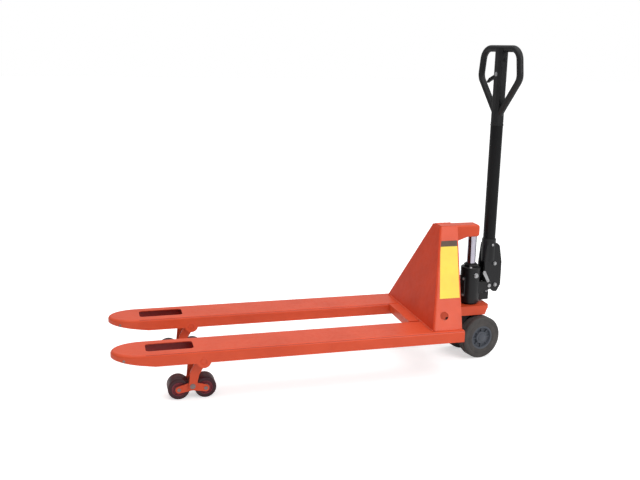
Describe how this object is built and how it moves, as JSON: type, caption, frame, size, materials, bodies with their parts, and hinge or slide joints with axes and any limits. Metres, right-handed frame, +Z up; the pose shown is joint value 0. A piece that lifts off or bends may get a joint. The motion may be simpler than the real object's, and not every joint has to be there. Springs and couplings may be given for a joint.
{
  "type": "pallet jack",
  "caption": "Hand pallet truck: two channel forks on a sloping head frame, tandem load rollers, steerable pump unit with twin wheels, and a tow bar handle with a closed grip loop.",
  "frame": {"origin": "on the floor under the middle of the truck's bounding box", "axes": "+X from the fork tips towards the handle, +Y across the truck to its right-hand fork, +Z up"},
  "size_m": [1.6342, 0.55, 1.2945],
  "materials": {
    "orange_paint": "gloss",
    "yellow_label": "satin",
    "chrome_rod": "polished",
    "bright_steel": "satin",
    "black_cast": "semi-gloss",
    "black_paint": "gloss",
    "black_grip": "satin",
    "grey_hub": "satin",
    "steer_rubber": "matte",
    "roller_tread": "satin"
  },
  "bodies": {
    "carrier": {"thrust_carrier": "orange_paint", "thrust_bearing": "bright_steel", "carrier_shaft": "bright_steel"},
    "fork_frame": {"fork_left": "orange_paint", "fork_right": "orange_paint", "heel_left": "orange_paint", "heel_right": "orange_paint", "side_plate_left": "orange_paint", "side_plate_right": "orange_paint", "front_plate": "orange_paint", "cross_member": "orange_paint", "head_cap": "orange_paint", "ram_rod": "chrome_rod", "label_plates": "yellow_label", "load_frame_shafts": "bright_steel", "entry_axles": "bright_steel"},
    "rocker": {"torsion_shaft": "bright_steel", "rocker_arms": "orange_paint", "rod_levers": "orange_paint", "lever_pins": "bright_steel"},
    "pump_unit": {"pump_body": "black_cast", "cylinder_gland": "black_cast", "filler_plug": "bright_steel", "pump_bolts": "bright_steel", "steer_axle": "bright_steel", "handle_pivot_pins": "bright_steel", "plunger_spring": "bright_steel"},
    "plunger": {"pump_plunger": "chrome_rod"},
    "handle": {"handle_base": "black_cast", "base_pins": "bright_steel", "tow_bar": "black_paint", "grip_loop": "black_grip", "lever_pin": "bright_steel"},
    "press_roller": {"pressure_roller": "bright_steel"},
    "lever": {"release_lever": "black_paint"},
    "control_rod": {"control_rod": "chrome_rod"},
    "push_rod_left": {"push_rod_left": "orange_paint"},
    "load_frame_left": {"load_frame_left": "orange_paint", "rod_pin_left": "bright_steel"},
    "bogie_shaft_left": {"bogie_shaft_left": "bright_steel"},
    "bogie_left": {"bogie_links_left": "orange_paint", "roller_axles_left": "bright_steel"},
    "load_roller_left_front": {"load_roller_left_front": "roller_tread"},
    "load_roller_left_rear": {"load_roller_left_rear": "roller_tread"},
    "entry_roller_left": {"entry_roller_left": "roller_tread"},
    "steer_wheel_left": {"steer_tyre_left": "steer_rubber", "steer_hub_left": "grey_hub"},
    "push_rod_right": {"push_rod_right": "orange_paint"},
    "load_frame_right": {"load_frame_right": "orange_paint", "rod_pin_right": "bright_steel"},
    "bogie_shaft_right": {"bogie_shaft_right": "bright_steel"},
    "bogie_right": {"bogie_links_right": "orange_paint", "roller_axles_right": "bright_steel"},
    "load_roller_right_front": {"load_roller_right_front": "roller_tread"},
    "load_roller_right_rear": {"load_roller_right_rear": "roller_tread"},
    "entry_roller_right": {"entry_roller_right": "roller_tread"},
    "steer_wheel_right": {"steer_tyre_right": "steer_rubber", "steer_hub_right": "grey_hub"}
  },
  "joints": [
    {"name": "fork_lift", "type": "slide", "parent": "carrier", "child": "fork_frame", "axis": [0, 0, 1], "range_m": [-0.115, 0]},
    {"name": "torsion_turn", "type": "hinge", "parent": "fork_frame", "child": "rocker", "pos_m": [0.428, 0, 0.184], "axis": [0, 1, 0], "range_deg": [-68.3, 0]},
    {"name": "steering", "type": "hinge", "parent": "carrier", "child": "pump_unit", "pos_m": [0.673, 0, 0.216], "axis": [0, 0, 1], "range_deg": [-100, 80]},
    {"name": "handle_tilt", "type": "hinge", "parent": "pump_unit", "child": "handle", "pos_m": [0.74588, 0.01285, 0.3], "axis": [-0.1736, 0.9848, 0], "range_deg": [0, 78], "stiffness_Nm_per_rad": 32, "springref_deg": -6.88},
    {"name": "plunger_stroke", "type": "slide", "parent": "pump_unit", "child": "plunger", "axis": [0, 0, -1], "range_m": [0, 0.0206], "deforming": ["plunger_spring"]},
    {"name": "pressure_roller_spin", "type": "hinge", "parent": "handle", "child": "press_roller", "pos_m": [0.75795, 0.01498, 0.31028], "axis": [-0.1736, 0.9848, 0], "continuous": true},
    {"name": "release", "type": "hinge", "parent": "handle", "child": "lever", "pos_m": [0.75769, 0.01493, 1.18], "axis": [0.9848, 0.1736, 0], "range_deg": [-6, 12], "stiffness_Nm_per_rad": 8},
    {"name": "control_rod_travel", "type": "slide", "parent": "handle", "child": "control_rod", "axis": [0, 0, 1], "range_m": [-0.0026, 0.0013]},
    {"name": "push_rod_travel_left", "type": "slide", "parent": "fork_frame", "child": "push_rod_left", "axis": [1, 0, 0], "range_m": [0, 0.0304]},
    {"name": "load_frame_swing_left", "type": "hinge", "parent": "fork_frame", "child": "load_frame_left", "pos_m": [-0.491, -0.197, 0.16], "axis": [0, 1, 0], "range_deg": [0, 74.6]},
    {"name": "bogie_level_left", "type": "hinge", "parent": "load_frame_left", "child": "bogie_shaft_left", "pos_m": [-0.53, -0.197, 0.054], "axis": [0, 1, 0], "range_deg": [-74.6, 0]},
    {"name": "bogie_rock_left", "type": "hinge", "parent": "bogie_shaft_left", "child": "bogie_left", "pos_m": [-0.53, -0.197, 0.054], "axis": [0, 1, 0], "range_deg": [-8, 8]},
    {"name": "load_roller_left_front_spin", "type": "hinge", "parent": "bogie_left", "child": "load_roller_left_front", "pos_m": [-0.579, -0.197, 0.04], "axis": [0, 1, 0], "continuous": true},
    {"name": "load_roller_left_rear_spin", "type": "hinge", "parent": "bogie_left", "child": "load_roller_left_rear", "pos_m": [-0.481, -0.197, 0.04], "axis": [0, 1, 0], "continuous": true},
    {"name": "entry_roller_spin_left", "type": "hinge", "parent": "fork_frame", "child": "entry_roller_left", "pos_m": [-0.772, -0.197, 0.1775], "axis": [0, 1, 0], "continuous": true},
    {"name": "steer_wheel_spin_left", "type": "hinge", "parent": "pump_unit", "child": "steer_wheel_left", "pos_m": [0.70167, -0.05892, 0.09], "axis": [-0.1736, 0.9848, 0], "continuous": true},
    {"name": "push_rod_travel_right", "type": "slide", "parent": "fork_frame", "child": "push_rod_right", "axis": [1, 0, 0], "range_m": [0, 0.0304]},
    {"name": "load_frame_swing_right", "type": "hinge", "parent": "fork_frame", "child": "load_frame_right", "pos_m": [-0.491, 0.197, 0.16], "axis": [0, 1, 0], "range_deg": [0, 74.6]},
    {"name": "bogie_level_right", "type": "hinge", "parent": "load_frame_right", "child": "bogie_shaft_right", "pos_m": [-0.53, 0.197, 0.054], "axis": [0, 1, 0], "range_deg": [-74.6, 0]},
    {"name": "bogie_rock_right", "type": "hinge", "parent": "bogie_shaft_right", "child": "bogie_right", "pos_m": [-0.53, 0.197, 0.054], "axis": [0, 1, 0], "range_deg": [-8, 8]},
    {"name": "load_roller_right_front_spin", "type": "hinge", "parent": "bogie_right", "child": "load_roller_right_front", "pos_m": [-0.579, 0.197, 0.04], "axis": [0, 1, 0], "continuous": true},
    {"name": "load_roller_right_rear_spin", "type": "hinge", "parent": "bogie_right", "child": "load_roller_right_rear", "pos_m": [-0.481, 0.197, 0.04], "axis": [0, 1, 0], "continuous": true},
    {"name": "entry_roller_spin_right", "type": "hinge", "parent": "fork_frame", "child": "entry_roller_right", "pos_m": [-0.772, 0.197, 0.1775], "axis": [0, 1, 0], "continuous": true},
    {"name": "steer_wheel_spin_right", "type": "hinge", "parent": "pump_unit", "child": "steer_wheel_right", "pos_m": [0.67979, 0.06517, 0.09], "axis": [-0.1736, 0.9848, 0], "continuous": true}
  ],
  "couplings": [
    {"joint": "torsion_turn", "follows": "fork_lift", "rad_per_m": 10.344},
    {"joint": "plunger_stroke", "follows": "handle_tilt", "m_per_rad": 0.015},
    {"joint": "control_rod_travel", "follows": "release", "m_per_rad": -0.012},
    {"joint": "push_rod_travel_left", "follows": "fork_lift", "ratio": -0.26347},
    {"joint": "load_frame_swing_left", "follows": "fork_lift", "rad_per_m": -11.285},
    {"joint": "bogie_level_left", "follows": "fork_lift", "rad_per_m": 11.285},
    {"joint": "push_rod_travel_right", "follows": "fork_lift", "ratio": -0.26347},
    {"joint": "load_frame_swing_right", "follows": "fork_lift", "rad_per_m": -11.285},
    {"joint": "bogie_level_right", "follows": "fork_lift", "rad_per_m": 11.285}
  ]
}
